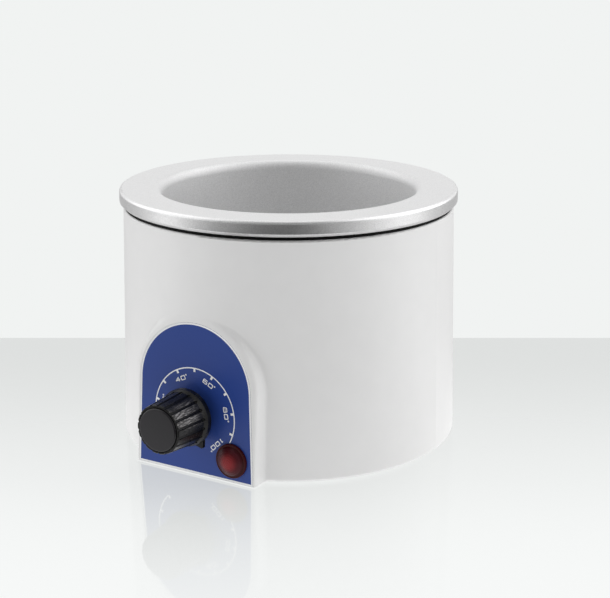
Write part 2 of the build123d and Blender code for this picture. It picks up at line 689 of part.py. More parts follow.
def knob():
    """Fluted black knob with a skirt, a pointer and a hub."""
    skirt_top = KNOB_STANDOFF + KNOB_SKIRT_H
    groove_r = CAP_R + CAP_GAP
    points = [
        (0, KNOB_HUB_GAP), (KNOB_HUB_R, KNOB_HUB_GAP), (KNOB_HUB_R, KNOB_STANDOFF),
        (KNOB_SKIRT_R, KNOB_STANDOFF), (KNOB_SKIRT_R, skirt_top), (KNOB_REAR_R, flutes_low),
        (KNOB_FRONT_R, KNOB_REACH), (groove_r, KNOB_REACH), (groove_r, KNOB_REACH - CAP_GROOVE),
        (CAP_R + FIT, KNOB_REACH - CAP_GROOVE), (CAP_R + FIT, cap_low), (0, cap_low),
    ]
    body = spun(points, [0, 0.5, 0, 0.4, 0.6, 1.0, FRONT_ROUND, 0, 0, 0, 0, 0])
    body -= rod(INSERT_R + THREAD_GAP, 0, insert_top + FIT)
    for turn in range(FLUTES):
        body -= Rot(0, 0, 360 * (turn + 0.5) / FLUTES) * flute()
    body += pointer()
    body -= grub_axis * rod(GRUB_R + THREAD_GAP, 0, 2 * KNOB_SKIRT_R)
    return dial * body


def flute():
    """Cutter for one groove along the knob's taper, in the plane Y = 0."""
    out = FLUTE_R - FLUTE_DEPTH
    start = Vector(KNOB_REAR_R + out, 0, flutes_low)
    end = Vector(KNOB_FRONT_R + out, 0, KNOB_REACH)
    run = end - start
    cutter = Cylinder(FLUTE_R, run.length * 1.2, align=(Align.CENTER, Align.CENTER, Align.MIN))
    return Plane(origin=start, z_dir=run).location * (cutter + Sphere(FLUTE_R))


def pointer():
    """Pointer that stands out of the skirt, turned to its place at rest."""
    root = KNOB_SKIRT_R - 1
    half = radians(POINTER_HALF)
    foot_x, foot_y = root * cos(half), KNOB_SKIRT_R * sin(half)
    tip = 0.35
    outline = make_face(Polyline(
        (foot_x, -foot_y), (POINTER_R, -tip), (POINTER_R, tip), (foot_x, foot_y), close=True))
    return Rot(0, 0, 90 - POINTER_AT) * Pos(0, 0, KNOB_STANDOFF) * extrude(outline, POINTER_T)


def knob_cap():
    """Flat cap pressed into the knob's front."""
    cap = rod(CAP_R, cap_low, cap_top)
    return dial * fillet(cap.edges().sort_by(Axis.Z)[-1], CAP_ROUND)


def spindle_bar(gap):
    """Spindle's round bar with a flat that faces the grub screw; a gap widens it for the insert."""
    flat = Pos(0, 0, KNOB_STANDOFF - 3) * Rot(0, 0, grub_angle) * block(
        (SPINDLE_R - SPINDLE_FLAT + gap, 2 * SPINDLE_R), (-2 * SPINDLE_R, 2 * SPINDLE_R), (0, 2 * SPINDLE_REACH))
    return rod(SPINDLE_R + gap, SPINDLE_BACK, SPINDLE_REACH) - flat


def thermostat_spindle():
    """Spindle that the knob turns."""
    return dial * spindle_bar(0)


def knob_insert():
    """Brass insert in the knob, bored for the spindle and its flat."""
    low = KNOB_STANDOFF - 2
    insert = rod(INSERT_R, low, insert_top) - spindle_bar(THREAD_GAP)
    return dial * (insert - grub_axis * rod(GRUB_R + THREAD_GAP, 0, 2 * KNOB_SKIRT_R))


def grub_screw():
    """Grub screw from the knob's side onto the spindle's flat."""
    start = SPINDLE_R - SPINDLE_FLAT + THREAD_GAP
    end = KNOB_REAR_R - GRUB_SINK
    socket = Pos(0, 0, end - GRUB_SOCKET) * extrude(RegularPolygon(0.55 * GRUB_R, 6), 2 * GRUB_SOCKET)
    return dial * grub_axis * (rod(GRUB_R, start, end) - socket)


def lamp_lens():
    """Red lens with a flange, a low dome and a spigot in the lamp's barrel."""
    dome_foot = LAMP_FLANGE_R - 1.0
    dome_r = (dome_foot ** 2 + LAMP_DOME ** 2) / (2 * LAMP_DOME)
    ball = Pos(0, 0, LAMP_FLANGE_T + LAMP_DOME - dome_r) * Sphere(dome_r)
    dome = ball & rod(dome_foot, LAMP_FLANGE_T - 0.2, LAMP_FLANGE_T + LAMP_DOME + 1)
    flange = rod(LAMP_FLANGE_R, 0, LAMP_FLANGE_T)
    flange = fillet(flange.edges().sort_by(Axis.Z)[-1], 0.5)
    spigot = rod(LAMP_BARREL_R - LAMP_WALL - THREAD_GAP, -4, 0)
    room = rod(LAMP_BULB_R + 0.5, -5, LAMP_FLANGE_T + 0.4)
    return lamp_seat * (flange + dome + spigot - room)


def lamp_body():
    """Lamp's black barrel with a closed back."""
    barrel = rod(LAMP_BARREL_R, -LAMP_DEPTH, 0)
    return lamp_seat * (barrel - rod(LAMP_BARREL_R - LAMP_WALL, -LAMP_DEPTH + 1, 1))


def neon_bulb():
    """Glass bulb that stands on the barrel's back."""
    bulb = rod(LAMP_BULB_R, -LAMP_DEPTH + 1, 0)
    return lamp_seat * fillet(bulb.edges().sort_by(Axis.Z)[-1], LAMP_BULB_R * 0.9)


def lamp_nut():
    """Spring nut on the barrel behind the panel."""
    return lamp_seat * ring(LAMP_BARREL_R + THREAD_GAP, LAMP_BARREL_R + LAMP_NUT_W, -WALL - LAMP_NUT_T, -WALL)


def inlet_body():
    """Mains inlet: a flange on the pad and a socket that reaches into the housing."""
    z = (INLET_UP - INLET_H / 2, INLET_UP + INLET_H / 2)
    flange = block((-FLANGE_W / 2, FLANGE_W / 2), (pad_reach, inlet_face),
                   (INLET_UP - FLANGE_H / 2, INLET_UP + FLANGE_H / 2))
    flange = fillet(flange.edges().filter_by(Axis.Y), FLANGE_ROUND)
    body = flange + block((-INLET_W / 2, INLET_W / 2), (inlet_back, pad_reach), z)
    socket = block((-SOCKET_W / 2, SOCKET_W / 2), (inlet_face - SOCKET_DEPTH, inlet_face + 1),
                   (INLET_UP - SOCKET_H / 2, INLET_UP + SOCKET_H / 2))
    keyed = socket.edges().filter_by(Axis.Y).sort_by(Axis.X)[-2:]
    body -= chamfer(keyed, SOCKET_KEY)
    for x, up in pin_places:
        body -= pin_bar(x, up, THREAD_GAP, inlet_back - 1, inlet_face - SOCKET_DEPTH + 1)
    for side in (-1, 1):
        body -= screw_axis(side) * screw_seat(M3_R, 2 * M3_R)
    return body


def screw_axis(side):
    """Axis of one of the inlet's screws, from the flange's face into the housing."""
    return Pos(0, inlet_face, INLET_UP + side * INLET_SCREWS / 2) * Rot(90, 0, 0)


def pin_bar(x, up, gap, y_low, y_high):
    """Flat bar of one pin along Y; a gap widens it for the hole it stands in."""
    half_w, half_t = PIN_W / 2 + gap, PIN_T / 2 + gap
    return block((x - half_w, x + half_w), (y_low, y_high), (INLET_UP + up - half_t, INLET_UP + up + half_t))


def inlet_pins():
    """Three pins, each with a solder tab behind the inlet."""
    pins = []
    for x, up in pin_places:
        pin = pin_bar(x, up, 0, inlet_back, inlet_face - PIN_SINK)
        half_w, half_t = PIN_W / 2, TAB_T / 2
        pin += block((x - half_w, x + half_w), (inlet_back - TAB_REACH, inlet_back),
                     (INLET_UP + up - half_t, INLET_UP + up + half_t))
        pins.append(pin)
    return Compound([s for pin in pins for s in pin.solids()])


def inlet_screws():
    """Two countersunk screws through the inlet's flange."""
    return Compound([screw_axis(side) * countersunk(M3_R, 2 * M3_R, M3_SCREW) for side in (-1, 1)])


def inlet_nuts():
    """Nuts behind the pad."""
    depth = inlet_face - pad_reach + WALL
    return Compound([s for side in (-1, 1)
                     for s in (screw_axis(side) * Pos(0, 0, depth) * nut(M3_R)).solids()])


def earth_stud():
    """Stud welded under the pot's floor for the earth tag."""
    return Pos(*earth_at) * rod(M4_R, pot_under - EARTH_LEN, pot_under)


def earth_tag():
    """Ring tag on the earth stud, pointing to the inlet."""
    z = (pot_under - TAB_T, pot_under)
    tag = rod(2 * M4_R, *z) + block((-1.5, 1.5), (0, TAG_LEN), z)
    return Pos(*earth_at) * (tag - rod(M4_R + FIT, z[0] - 1, z[1] + 1))


def earth_nut():
    """Nut that clamps the earth tag."""
    return Pos(earth_at[0], earth_at[1], pot_under - TAB_T - NUT_T) * nut(M4_R)


def tab_end(x, up):
    """End of an inlet pin's solder tab."""
    return (x, inlet_back - TAB_REACH, INLET_UP + up)


def stat_tab_end(side, beyond=0.0):
    """Point at, or past, the end of one of the thermostat's tabs."""
    return tuple((dial * Pos(side * STAT_TAB_X, STAT_TAB_Y, stat_back - TAB_REACH - beyond)).position)


def heater_tab_end(side, below=0.0):
    """Point at, or below, the end of one of the heater's tabs."""
    return around(heater_out + TAB_T / 2, 90 - side * terminal_angle, heater_z - TAB_REACH - below)


def cutout_tab_end(side, beyond=0.0):
    """Point at, or past, the end of one of the cutout's tabs."""
    y = cutout_at[1] + side * (CUTOUT_R + TAB_REACH + beyond)
    return (cutout_at[0], y, pot_under - CUTOUT_H / 2)


def live_wire():
    """Inlet to thermostat, along the base."""
    start = tab_end(*pin_places[0])
    end, before = stat_tab_end(-1), stat_tab_end(-1, WIRE_RUN)
    lane = -LANE_X
    points = [
        start, (start[0], start[1] - WIRE_RUN, start[2]), (lane, start[1] - LANE_DROP, LANE_Z),
        (lane, before[1] + 12, LANE_Z), before, end,
    ]
    return tube(points, WIRE_R)


def switched_wire():
    """Thermostat to cutout."""
    start, after = stat_tab_end(1), stat_tab_end(1, 6)
    end, before = cutout_tab_end(-1), cutout_tab_end(-1, 6)
    middle = ((after[0] + before[0]) / 2 + 3, (after[1] + before[1]) / 2, (after[2] + before[2]) / 2 - 3)
    return tube([start, after, middle, before, end], WIRE_R)


def heater_wire():
    """Cutout to heater."""
    start, after = cutout_tab_end(1), cutout_tab_end(1, 6)
    end, before = heater_tab_end(1), heater_tab_end(1, 8)
    middle = (before[0] + 1, before[1] - 12, before[2] - 4)
    return tube([start, after, middle, before, end], WIRE_R)


def neutral_wire():
    """Inlet to heater."""
    start = tab_end(*pin_places[1])
    end, before = heater_tab_end(-1), heater_tab_end(-1, 8)
    points = [
        start, (start[0], start[1] - 5, start[2]), (before[0], start[1] - 6, before[2] - 5),
        before, end,
    ]
    return tube(points, WIRE_R)


def earth_wire():
    """Inlet to the earth tag under the pot."""
    start = tab_end(*pin_places[2])
    end = (earth_at[0], earth_at[1] + TAG_LEN - 2, pot_under - TAB_T - WIRE_R)
    points = [
        start, (start[0], start[1] - 4.5, start[2]),
        (end[0] + 1, end[1] + 8, end[2] - 1), end,
    ]
    return tube(points, WIRE_R)


def lamp_leads():
    """Lamp to the thermostat's switched tab, and lamp to the inlet."""
    def at(side, depth):
        return tuple((lamp_seat * Pos(side * LEAD_X, 0, -depth)).position)
    tab = stat_tab_end(1, -TAB_REACH / 2)
    side_x = tab[0] + TAB_W / 2 + LEAD_R / 2
    short = [at(-1, LAMP_DEPTH), at(-1, LAMP_DEPTH + 4), (side_x + 4, tab[1] - 1, tab[2] - 5),
             (side_x + 3, tab[1], tab[2]), (side_x, tab[1], tab[2])]
    inlet = tab_end(*pin_places[1])
    end = (inlet[0] + PIN_W / 2, inlet[1] + 2, inlet[2])
    far = [at(1, LAMP_DEPTH), at(1, LAMP_DEPTH + 6), (LANE_X + 8, at(1, 0)[1] + 34, LANE_Z),
           (LANE_X + 8, inlet[1] - 22, LANE_Z), (end[0] + 14, end[1] - 8, end[2] - 14),
           (end[0] + 7, end[1], end[2]), end]
    return Compound([s for route in (short, far) for s in tube(route, LEAD_R).solids()])


PARTS = [
    housing, base_plate, rubber_feet, base_screws,
    well_pot, rim_seal, well_studs, well_pillars, pillar_screws,
    heater_band, heater_straps, strap_screws, heater_terminals, insulation_jacket,
    thermal_cutout, cutout_tabs, cutout_clip, sensing_bulb, bulb_clip, clip_studs, clip_nuts,
    capillary_tube, thermostat_body, thermostat_screws, thermostat_tabs,
    label_plate, knob, knob_cap, knob_insert, grub_screw, thermostat_spindle,
    lamp_lens, lamp_body, neon_bulb, lamp_nut,
    inlet_body, inlet_pins, inlet_screws, inlet_nuts,
    earth_stud, earth_tag, earth_nut,
    live_wire, switched_wire, heater_wire, neutral_wire, earth_wire, lamp_leads,
]

os.makedirs("parts", exist_ok=True)
for make in PARTS:
    export_step(Compound(make().solids()), f"parts/{make.__name__}.step")
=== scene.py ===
# %% [markdown]
# A wax warmer from a beauty salon: a silver pot with a wide flat rim hangs in a white
# moulded housing, and a small blue dial panel stands out of its front. The shapes that have
# a size come ready from the CAD model. This lesson gives them their finishes, prints the
# dial, and builds the little studio around them. First the model is loaded.

# %% Load the CAD model
from math import cos, pi, radians, sin

import bpy
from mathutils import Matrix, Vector


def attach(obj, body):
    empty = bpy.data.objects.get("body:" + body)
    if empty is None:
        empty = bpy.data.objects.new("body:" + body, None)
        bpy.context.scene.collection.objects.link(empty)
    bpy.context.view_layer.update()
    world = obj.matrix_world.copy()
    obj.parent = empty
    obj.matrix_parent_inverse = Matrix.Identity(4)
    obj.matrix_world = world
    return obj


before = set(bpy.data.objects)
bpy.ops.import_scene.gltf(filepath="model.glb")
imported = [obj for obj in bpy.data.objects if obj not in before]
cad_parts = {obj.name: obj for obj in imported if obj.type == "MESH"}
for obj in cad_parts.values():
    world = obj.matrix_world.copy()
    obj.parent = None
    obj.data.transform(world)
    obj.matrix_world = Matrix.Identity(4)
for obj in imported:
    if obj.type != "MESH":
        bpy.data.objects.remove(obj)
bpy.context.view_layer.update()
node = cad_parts
MM = 0.001

# %% [markdown]
# A material in Blender is a graph of nodes. Clicking one together is slow to explain, so
# here a graph is written as arithmetic. Wire stands for one output socket, and adding or
# multiplying two wires puts a Math node between them. Board holds one node tree, and its
# method node makes any node: its settings first, then what goes into its sockets.

# %% Sockets that do arithmetic
class Wire:
    """One output socket of a node tree, with Python's operators."""

    def __init__(self, board, socket):
        self.board, self.socket = board, socket

    def math(self, operation, *values):
        return self.board.node("ShaderNodeMath", {"operation": operation},
                               dict(enumerate(values)))

    def __add__(self, other):
        return self.math("ADD", self, other)

    def __sub__(self, other):
        return self.math("SUBTRACT", self, other)

    def __rsub__(self, other):
        return self.math("SUBTRACT", other, self)

    def __mul__(self, other):
        return self.math("MULTIPLY", self, other)

    def __truediv__(self, other):
        return self.math("DIVIDE", self, other)

    def __gt__(self, other):
        return self.math("GREATER_THAN", self, other)

    def __abs__(self):
        return self.math("ABSOLUTE", self)

    __radd__ = __add__
    __rmul__ = __mul__

    def sine(self):
        return self.math("SINE", self)

    def step(self, low, high):
        """Rises smoothly from 0 at low to 1 at high."""
        return self.board.node("ShaderNodeMapRange", {"interpolation_type": "SMOOTHSTEP"},
                               {"Value": self, "From Min": low, "From Max": high})

    def vector(self, operation, *others, out=0):
        return self.board.node("ShaderNodeVectorMath", {"operation": operation},
                               dict(enumerate((self, *others))), out)

    def dot(self, other):
        return self.vector("DOT_PRODUCT", other, out="Value")

    def length(self):
        return self.vector("LENGTH", out="Value")


class Board:
    """A node tree, of a material or of the world."""

    def __init__(self, tree):
        self.tree = tree
        tree.nodes.clear()

    def node(self, kind, settings=None, sockets=None, out=0):
        made = self.tree.nodes.new(kind)
        for key, value in (settings or {}).items():
            if key == "stops":
                self.fill_ramp(made.color_ramp, value)
            else:
                setattr(made, key, value)
        for key, value in (sockets or {}).items():
            if isinstance(value, Wire):
                self.tree.links.new(value.socket, made.inputs[key])
            else:
                made.inputs[key].default_value = value
        return Wire(self, made.outputs[out]) if len(made.outputs) else made

    def fill_ramp(self, ramp, stops):
        while len(ramp.elements) < len(stops):
            ramp.elements.new(0.5)
        for element, (place, colour) in zip(ramp.elements, stops):
            element.position, element.color = place, (*colour, 1.0)

    def tint(self, colour_a, colour_b, share):
        """Mixes two colours."""
        return self.node("ShaderNodeMix", {"data_type": "RGBA"},
                         {0: share, 6: (*colour_a, 1.0), 7: (*colour_b, 1.0)}, 2)

    def blend(self, share, first, second):
        """Mixes two whole surfaces, or two skies."""
        return self.node("ShaderNodeMixShader", None, {0: share, 1: first, 2: second})


# %% [markdown]
# Every finish here is a Principled surface whose colour, roughness and tiny relief vary a
# little, because no real surface is perfectly even. The patterns are taken from the
# object's own coordinates in metres, so a grain of 0.3 mm is written as 0.3 mm and stays
# that size on every piece. Finish keeps the steps that all of them share.

# %% One class for all finishes
class Finish(Board):
    """A material whose patterns are sized in millimetres."""

    def __init__(self, name):
        self.material = bpy.data.materials.new(name)
        self.material.use_nodes = True
        super().__init__(self.material.node_tree)
        self.place = self.node("ShaderNodeTexCoord", out="Object")

    def grain(self, size, detail=2.0, stretch=(1, 1, 1)):
        """Soft noise between 0 and 1, with lumps of about this size in millimetres."""
        spot = self.place.vector("MULTIPLY", stretch)
        return self.node("ShaderNodeTexNoise", None,
                         {"Vector": spot, "Scale": 1 / (size * MM), "Detail": detail})

    def cells(self, size):
        """Small cells of this size in millimetres, each with its own random colour."""
        return self.node("ShaderNodeTexVoronoi", None,
                         {"Vector": self.place, "Scale": 1 / (size * MM)}, "Color")

    def relief(self, height, depth, **base):
        """Normal of a surface whose height pattern is this many millimetres deep."""
        return self.node("ShaderNodeBump", None,
                         {"Strength": 1.0, "Distance": depth * MM, "Height": height, **base})

    def shine(self, **sockets):
        """Principled surface: underscores in a socket's name stand for its spaces."""
        named = {key.replace("_", " "): value for key, value in sockets.items()}
        surface = self.node("ShaderNodeBsdfPrincipled", None, named)
        self.node("ShaderNodeOutputMaterial", None, {"Surface": surface})
        return self.material


def dress(material, *names):
    """Gives a material to CAD nodes."""
    for name in names:
        mesh = node[name].data
        mesh.materials.clear()
        mesh.materials.append(material)
    print(material.name, "on", ", ".join(names))


# %% [markdown]
# The housing is one injection moulding in white plastic with a satin gloss. Such a surface
# is nearly smooth, with a very shallow unevenness that makes long highlights waver, and a
# fine spark texture from the mould. Both are noise, at 9 mm and at 0.35 mm, and a trace of
# the wide one in the colour keeps it from looking like paper.

# %% White moulded shell
shell = Finish("white_shell")
wave, spark = shell.grain(9.0), shell.grain(0.35, 3.0)
dress(shell.shine(
    Base_Color=shell.tint((0.790, 0.790, 0.788), (0.825, 0.825, 0.822), wave),
    Roughness=0.30 + 0.10 * spark,
    IOR=1.5,
    Normal=shell.relief(wave * 0.7 + spark * 0.3, 0.012),
), "housing")

# %% [markdown]
# The pot and its rim are pressed aluminium under a silver metallic lacquer. Its fine
# sparkle comes from flakes that lie at slightly different angles. Voronoi cells of a
# quarter of a millimetre stand for them: each cell's random value makes it a bit lighter or
# darker and a bit rougher, and tilts it through a very shallow relief. Inside the pot the
# lacquer is thinner and frosted, so the distance from the pot's axis turns the polish down.
# A highlight runs along the small round at the rim's outer edge, and there even the finest
# mesh shows its triangles. That round is a true torus, so its normal is worked out instead:
# it points from the middle of the round's section to the surface.

# %% Silver lacquered pot
FROSTED_R, POLISHED_R = 57.9 * MM, 60.5 * MM
ROUND_R, ROUND_Z = 75.2 * MM, 112.5 * MM
silver = Finish("silver_pot")
flake = silver.cells(0.26).dot((0.34, 0.33, 0.33))
cloud = silver.grain(6.0)
height = silver.place.dot((0, 0, 1))
outward = silver.place.vector("MULTIPLY", (1, 1, 0))
from_axis = outward.length()
polish = from_axis.step(FROSTED_R, POLISHED_R)
on_circle = outward.vector("NORMALIZE").vector("MULTIPLY", (ROUND_R, ROUND_R, 0))
section = on_circle.vector("ADD", (0, 0, ROUND_Z))
spoke = silver.place.vector("SUBTRACT", section).vector("NORMALIZE")
on_round = (from_axis > ROUND_R) * (height > ROUND_Z)
mesh_normal = silver.node("ShaderNodeNewGeometry", out="Normal")
facing = silver.node("ShaderNodeMix", {"data_type": "VECTOR"},
                     {0: on_round, 4: mesh_normal, 5: spoke}, 1)
dress(silver.shine(
    Base_Color=silver.tint((0.62, 0.62, 0.622), (0.88, 0.88, 0.882), flake),
    Metallic=0.66 + 0.32 * polish,
    Roughness=0.52 - 0.27 * polish + 0.12 * flake + 0.05 * cloud,
    Normal=silver.relief(flake, 0.014, Normal=facing),
), "well_pot")

# %% [markdown]
# The label is a printed film let into the panel. Screen printed blue is flat but never
# perfectly so: a weak mottle of half a millimetre shows in the gloss. The film reflects
# little, so that the blue stays deep.

# %% Blue printed label
film = Finish("blue_label")
mottle = film.grain(0.6)
dress(film.shine(
    Base_Color=film.tint((0.019, 0.052, 0.250), (0.024, 0.060, 0.275), mottle),
    Roughness=0.32 + 0.08 * mottle,
    IOR=1.35,
    Normal=film.relief(mottle, 0.006),
), "label_plate")

# %% [markdown]
# The knob is moulded in black thermoset plastic. Its ribs are tinted a streaky grey along
# the knob, while the grooves stay black: partly finger scuffs, and partly a painted
# highlight in place of the light on the ribs. The ribs are told from the grooves by their
# distance from the knob's axis, against a cone that follows its taper. The grey grows towards
# the knob's front, and it is painted almost only on the upper right side, where the light falls.
# The cap in the front is a separate disc, even and satin black.

# %% Black knob and its cap
LEAN = radians(1.72)
PANEL_Z = Vector((0.0, -cos(LEAN), sin(LEAN)))
KNOB_AT = Vector((0.0, -77.368, 27.888)) * MM
TAPER = 0.067
GROOVE_R, RIB_R = 12.00 * MM, 12.25 * MM
GREY_FROM_UP, GREY_FULL_UP = 7.0 * MM, 21.0 * MM
# side of the painted highlight on the ribs: upper right, where the light falls
HIGHLIGHT_SIDE = (0.83, 0.0, 0.56)
HIGHLIGHT_EDGE, HIGHLIGHT_MIDDLE = 9.4 * MM, 11.6 * MM
bakelite = Finish("knob_black")
from_centre = bakelite.place.vector("SUBTRACT", KNOB_AT)
up_axis = from_centre.dot(PANEL_Z)
radius = from_centre.vector("CROSS_PRODUCT", PANEL_Z).length()
rib = (radius + TAPER * up_axis).step(GROOVE_R, RIB_R)
streak = bakelite.grain(0.38, 3.0, (1.0, 0.16, 1.0)).step(0.46, 0.64)
skin, speck = bakelite.grain(1.6, 4.0), bakelite.grain(0.25, 2.0)
# grey of the ribs: finger scuffs, and partly a painted highlight for the light on them
rib_wear_and_highlight = rib * up_axis.step(GREY_FROM_UP, GREY_FULL_UP) * (0.15 + 0.85 * streak)
# painted highlight: the ribs' grey is kept almost only to the upper right side, where the light
# falls
painted_highlight_side = from_centre.dot(HIGHLIGHT_SIDE).step(HIGHLIGHT_EDGE, HIGHLIGHT_MIDDLE)
dress(bakelite.shine(
    Base_Color=bakelite.tint((0.002, 0.002, 0.002), (0.380, 0.365, 0.365),
                             rib_wear_and_highlight * (0.05 + 0.95 * painted_highlight_side)),
    Roughness=0.20 + 0.18 * skin,
    IOR=1.34,
    Normal=bakelite.relief(skin * 0.6 + speck * 0.4, 0.05),
), "knob")

cap = Finish("cap_grey")
matte = cap.grain(0.18, 3.0)
dress(cap.shine(
    Base_Color=cap.tint((0.007, 0.006, 0.008), (0.012, 0.011, 0.014), matte),
    Roughness=0.15 + 0.08 * matte,
    IOR=1.42,
    Normal=cap.relief(matte, 0.015),
), "knob_cap")

# %% [markdown]
# The dial and the lamp share the panel's own frame: x to the right, y up the panel and z out
# of it. The panel leans back by 1.72 degrees. Everything printed or measured on the panel
# is written in that frame, in millimetres, and one function turns it into a place in the
# scene.

# %% The panel's frame
PANEL_FOOT = Vector((0.0, -78.1933, 0.4)) * MM
PANEL_X = Vector((1.0, 0.0, 0.0))
PANEL_Y = Vector((0.0, sin(LEAN), cos(LEAN)))
DIAL_UP = 27.0
LAMP_X, LAMP_UP = 19.2, 9.7


def on_panel(x, y, z=0.0):
    """Place in the scene of a point on the panel."""
    return PANEL_FOOT + (PANEL_X * x + PANEL_Y * y + PANEL_Z * z) * MM


print("dial centre", [round(v / MM, 2) for v in on_panel(0, DIAL_UP)])

# %% [markdown]
# The lamp isn't lit. Its red lens looks dark at the rim, where it is thick, then brownish,
# and clearer red over the bulb in the middle. That is a pattern of one number, the distance
# from the lamp's axis, so it needs no texture: the cross product with the axis gives it,
# and a colour ramp turns it into the rings. The sine of the same distance gives the fine
# concentric ridges that such lenses have to spread the light.

# %% Red lamp lens
LENS_R, RIDGE = 7.6 * MM, 0.9 * MM
ruby = Finish("lamp_red")
offset = ruby.place.vector("SUBTRACT", on_panel(LAMP_X, LAMP_UP))
out_from_axis = offset.vector("CROSS_PRODUCT", PANEL_Z).length()
rings = ruby.node("ShaderNodeValToRGB", {"stops": [
    (0.00, (0.270, 0.030, 0.034)), (0.30, (0.215, 0.020, 0.024)), (0.58, (0.075, 0.008, 0.012)),
    (0.74, (0.060, 0.010, 0.015)), (0.86, (0.030, 0.001, 0.002)), (1.00, (0.050, 0.004, 0.005))]},
    {0: out_from_axis / LENS_R})
ripple = ruby.grain(0.8)
ridge = (out_from_axis * (2 * pi / RIDGE)).sine()
dress(ruby.shine(
    Base_Color=rings,
    Roughness=0.24 + 0.10 * ripple,
    IOR=1.22,
    Normal=ruby.relief(ridge * 0.5 + ripple * 0.3, 0.06),
), "lamp_lens")


# %% [markdown]
# Most of the other pieces are inside and show only when the model is taken apart, but each
# one still has its real finish. Many of them differ in nothing but two colours, a grain and
# a roughness, so one small function makes those, and each call below reads like an entry in
# a parts list.

# %% Rubber, brass and the rest
def plain(name, dark, light, size, rough, depth=0.02, **extra):
    """Finish with two close colours mixed by a grain."""
    made = Finish(name)
    spots = made.grain(size, 3.0)
    return made.shine(Base_Color=made.tint(dark, light, spots), Roughness=rough + 0.14 * spots,
                      Normal=made.relief(spots, depth), **extra)


dress(plain("seal_rubber", (0.002, 0.002, 0.002), (0.005, 0.005, 0.005), 0.8, 0.55, IOR=1.2),
      "rim_seal")
dress(plain("foot_rubber", (0.018, 0.018, 0.018), (0.030, 0.030, 0.029), 0.5, 0.60, 0.05),
      "rubber_feet")
dress(plain("inlet_black", (0.012, 0.012, 0.012), (0.020, 0.020, 0.020), 0.4, 0.34, 0.03),
      "inlet_body")
dress(plain("barrel_black", (0.012, 0.012, 0.012), (0.020, 0.020, 0.020), 0.5, 0.35),
      "lamp_body")
dress(plain("thermostat_shell", (0.040, 0.032, 0.026), (0.060, 0.048, 0.038), 1.2, 0.40),
      "thermostat_body")
dress(plain("cutout_ceramic", (0.62, 0.57, 0.48), (0.74, 0.70, 0.62), 0.5, 0.55),
      "thermal_cutout")
dress(plain("heater_sheath", (0.34, 0.33, 0.31), (0.52, 0.50, 0.47), 2.5, 0.38, Metallic=1.0),
      "heater_band")
dress(plain("brass_tabs", (0.55, 0.46, 0.30), (0.70, 0.62, 0.44), 1.0, 0.26, Metallic=1.0),
      "heater_terminals", "cutout_tabs", "thermostat_tabs", "earth_tag")
dress(plain("brass_insert", (0.58, 0.43, 0.18), (0.74, 0.58, 0.28), 0.9, 0.22, Metallic=1.0),
      "knob_insert", "inlet_pins")
dress(plain("copper_bulb", (0.50, 0.24, 0.14), (0.68, 0.36, 0.23), 1.6, 0.26, Metallic=1.0),
      "sensing_bulb", "capillary_tube")
for wire, dark, light, carriers in (
        ("brown", (0.10, 0.045, 0.020), (0.14, 0.065, 0.030), ["live_wire"]),
        ("black", (0.016, 0.016, 0.016), (0.026, 0.026, 0.026), ["switched_wire", "heater_wire"]),
        ("blue", (0.02, 0.07, 0.32), (0.03, 0.10, 0.40), ["neutral_wire"]),
        ("green", (0.07, 0.26, 0.03), (0.12, 0.36, 0.05), ["earth_wire"]),
        ("white", (0.66, 0.66, 0.63), (0.76, 0.76, 0.73), ["lamp_leads"])):
    dress(plain("wire_" + wire, dark, light, 0.7, 0.40), *carriers)

# %% [markdown]
# Steel sheet that is rolled and zinc plated has a faint grain along one direction and a
# cloudy bloom. Stretching the noise makes the grain, and a second, large noise mixes in the
# bloom. The base plate is dull, and screws, nuts and clips are brighter, so that they stand
# out on it.

# %% Zinc plated steel
def galvanised(name, dark, light, rough):
    """Zinc plated steel with a rolled grain and a cloudy bloom."""
    zinc = Finish(name)
    rolled, bloom = zinc.grain(0.5, 3.0, (0.08, 1.0, 1.0)), zinc.grain(7.0, 3.0)
    return zinc.shine(
        Base_Color=zinc.tint(dark, light, bloom * 0.6 + rolled * 0.4),
        Metallic=1.0,
        Roughness=rough + 0.14 * rolled,
        Normal=zinc.relief(rolled, 0.008),
    )


dress(galvanised("plate_steel", (0.32, 0.33, 0.34), (0.48, 0.48, 0.47), 0.36), "base_plate")
dress(galvanised("zinc_steel", (0.50, 0.51, 0.52), (0.74, 0.74, 0.72), 0.24),
      "base_screws", "well_studs", "well_pillars", "pillar_screws", "heater_straps",
      "strap_screws", "cutout_clip", "bulb_clip", "clip_studs", "clip_nuts",
      "thermostat_screws", "grub_screw", "thermostat_spindle", "lamp_nut", "inlet_screws",
      "inlet_nuts", "earth_stud", "earth_nut")

# %% [markdown]
# Two finishes inside need something of their own. The insulation is felted glass fibre, so
# long thin fibres cross each other: two stretched noises in different directions give them.
# The neon bulb is clear glass, which is a Principled surface with transmission.

# %% Glass fibre and glass
felt = Finish("glass_fibre")
across, along = felt.grain(0.4, 4.0, (0.1, 0.1, 1.0)), felt.grain(0.4, 4.0, (1.0, 1.0, 0.12))
dress(felt.shine(
    Base_Color=felt.tint((0.58, 0.55, 0.46), (0.80, 0.78, 0.70), across * 0.5 + along * 0.5),
    Roughness=0.92,
    Normal=felt.relief(across + along, 0.25),
), "insulation_jacket")

glass = Finish("bulb_glass")
dress(glass.shine(
    Base_Color=glass.tint((0.84, 0.79, 0.74), (0.90, 0.86, 0.82), glass.grain(1.5)),
    Roughness=0.05, Transmission_Weight=0.9, IOR=1.5,
), "neon_bulb")

# %% [markdown]
# The print on the dial is white ink: a border round the label, a scale line with a tick for
# every ten degrees, and plain numbers. Ink has a real thickness of a few hundredths of a
# millimetre, so it can be a thin mesh laid on the film, which stays sharp at any distance.
# Everything is drawn with one pen: a ribbon of constant width along a path.

# %% A pen for ribbons of ink
INK = 0.03
CORNER_STEPS = 6


